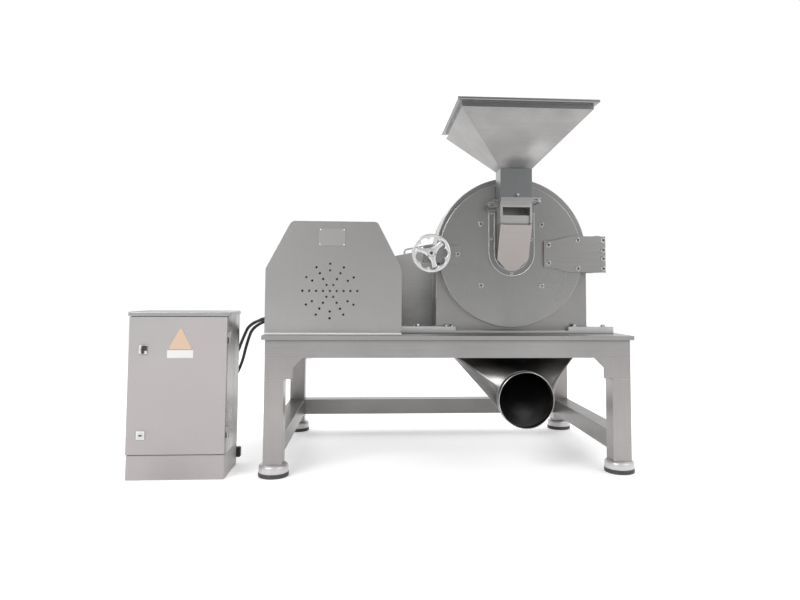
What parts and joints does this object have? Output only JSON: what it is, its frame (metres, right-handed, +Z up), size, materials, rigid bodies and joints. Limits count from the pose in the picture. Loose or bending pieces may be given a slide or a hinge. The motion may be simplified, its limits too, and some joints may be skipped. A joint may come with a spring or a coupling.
{
  "type": "hammer mill",
  "caption": "Table-mounted hammer mill with front hopper, round hinged door, swing hammers, belt drive under a guard, covered motor, front discharge and control cabinet.",
  "frame": {"origin": "on the floor under the middle of the whole set", "axes": "+X along the table towards the mill's door hinge, +Y from the door towards the belt drive, +Z up"},
  "size_m": [2.153, 1.2448, 1.558],
  "materials": {
    "stainless_brushed": "satin",
    "stainless_polished": "polished",
    "machined_steel": "satin",
    "fastener_steel": "satin",
    "cast_iron_parts": "matte",
    "motor_paint": "satin",
    "zinc_cap": "satin",
    "rubber_black": "matte",
    "cable_black": "satin",
    "cabinet_paint": "textured matte",
    "gear_plastic": "matte",
    "lock_metal": "satin",
    "blank_plate": "satin"
  },
  "bodies": {
    "frame": {"table_top": "stainless_brushed", "aprons": "stainless_brushed", "rails": "stainless_brushed", "legs": "stainless_brushed", "foot_caps": "zinc_cap", "foot_pads": "rubber_black", "discharge_chute": "stainless_brushed", "outlet_pipe": "stainless_brushed", "mill_base": "stainless_brushed", "casing_skin": "stainless_brushed", "casing_ring": "stainless_brushed", "back_plate": "stainless_brushed", "ring_screen": "stainless_brushed", "bearing_housing": "cast_iron_parts", "bearings": "machined_steel", "frame_bolts": "fastener_steel", "v_belts": "rubber_black", "motor_body": "motor_paint", "motor_rails": "motor_paint", "motor_cover": "stainless_brushed", "rating_blank": "blank_plate", "belt_guard": "stainless_brushed", "guard_cover": "stainless_brushed", "hinge_bracket": "stainless_brushed", "screw_block": "stainless_brushed", "cabinet_plinth": "cabinet_paint", "cabinet_body": "cabinet_paint", "cabinet_roof": "cabinet_paint", "cabinet_gear": "gear_plastic", "upper_cable": "cable_black", "lower_cable": "cable_black", "cable_glands": "cable_black"},
    "rotor": {"rotor_shaft": "machined_steel", "rotor_discs": "machined_steel", "hammer_pins": "machined_steel", "mill_pulley": "cast_iron_parts"},
    "hammer_a": {"hammer_a": "machined_steel"},
    "hammer_b": {"hammer_b": "machined_steel"},
    "hammer_c": {"hammer_c": "machined_steel"},
    "hammer_d": {"hammer_d": "machined_steel"},
    "motor_rotor": {"motor_shaft": "machined_steel", "motor_pulley": "cast_iron_parts"},
    "door": {"door_plate": "stainless_polished", "door_seal": "rubber_black", "door_liner": "machined_steel", "hinge_strap": "stainless_brushed", "clamp_lug": "stainless_brushed", "feed_box": "stainless_brushed", "throat": "stainless_brushed", "hopper": "stainless_brushed", "door_screws": "fastener_steel"},
    "gate": {"gate_plate": "stainless_brushed"},
    "gate_screw": {"thumb_screw": "stainless_polished"},
    "clamp": {"clamp_washer": "stainless_polished"},
    "handwheel": {"handwheel": "stainless_polished"},
    "cabinet_door": {"cabinet_leaf": "cabinet_paint", "blank_labels": "blank_plate"},
    "upper_lock": {"upper_lock": "lock_metal"},
    "lower_lock": {"lower_lock": "lock_metal"}
  },
  "joints": [
    {"name": "door_hinge", "type": "hinge", "parent": "frame", "child": "door", "pos_m": [0.9575, -0.2445, 0.945], "axis": [0, 0, 1], "range_deg": [0, 110]},
    {"name": "clamp_slide", "type": "slide", "parent": "door", "child": "clamp", "axis": [0, -1, 0], "range_m": [0, 0.0161]},
    {"name": "handwheel_turn", "type": "hinge", "parent": "clamp", "child": "handwheel", "pos_m": [0.1845, -0.3295, 0.945], "axis": [0, -1, 0], "range_deg": [0, 1440]},
    {"name": "gate_slide", "type": "slide", "parent": "door", "child": "gate", "axis": [1, 0, 0], "range_m": [0, 0.13]},
    {"name": "gate_screw_turn", "type": "hinge", "parent": "door", "child": "gate_screw", "pos_m": [0.5555, -0.3935, 1.19], "axis": [0, 0, 1], "range_deg": [0, 720]},
    {"name": "rotor_spin", "type": "hinge", "parent": "frame", "child": "rotor", "pos_m": [0.5525, 0.1105, 0.945], "axis": [0, 1, 0], "continuous": true},
    {"name": "motor_spin", "type": "hinge", "parent": "frame", "child": "motor_rotor", "pos_m": [-0.2525, 0.1105, 0.778], "axis": [0, 1, 0], "continuous": true},
    {"name": "hammer_a_swing", "type": "hinge", "parent": "rotor", "child": "hammer_a", "pos_m": [0.65857, -0.1225, 1.05107], "axis": [0, 1, 0], "continuous": true},
    {"name": "hammer_b_swing", "type": "hinge", "parent": "rotor", "child": "hammer_b", "pos_m": [0.44643, -0.1225, 1.05107], "axis": [0, 1, 0], "continuous": true},
    {"name": "hammer_c_swing", "type": "hinge", "parent": "rotor", "child": "hammer_c", "pos_m": [0.44643, -0.1225, 0.83893], "axis": [0, 1, 0], "continuous": true},
    {"name": "hammer_d_swing", "type": "hinge", "parent": "rotor", "child": "hammer_d", "pos_m": [0.65857, -0.1225, 0.83893], "axis": [0, 1, 0], "continuous": true},
    {"name": "cabinet_hinge", "type": "hinge", "parent": "frame", "child": "cabinet_door", "pos_m": [-0.6655, -0.3705, 0.39], "axis": [0, 0, 1], "range_deg": [0, 110]},
    {"name": "upper_lock_turn", "type": "hinge", "parent": "cabinet_door", "child": "upper_lock", "pos_m": [-1.0125, -0.3895, 0.531], "axis": [0, -1, 0], "range_deg": [0, 90]},
    {"name": "lower_lock_turn", "type": "hinge", "parent": "cabinet_door", "child": "lower_lock", "pos_m": [-1.0125, -0.3895, 0.182], "axis": [0, -1, 0], "range_deg": [0, 90]}
  ],
  "couplings": [
    {"joint": "clamp_slide", "follows": "handwheel_turn", "m_per_rad": 0.00063662},
    {"joint": "motor_spin", "follows": "rotor_spin", "ratio": 0.77961}
  ]
}
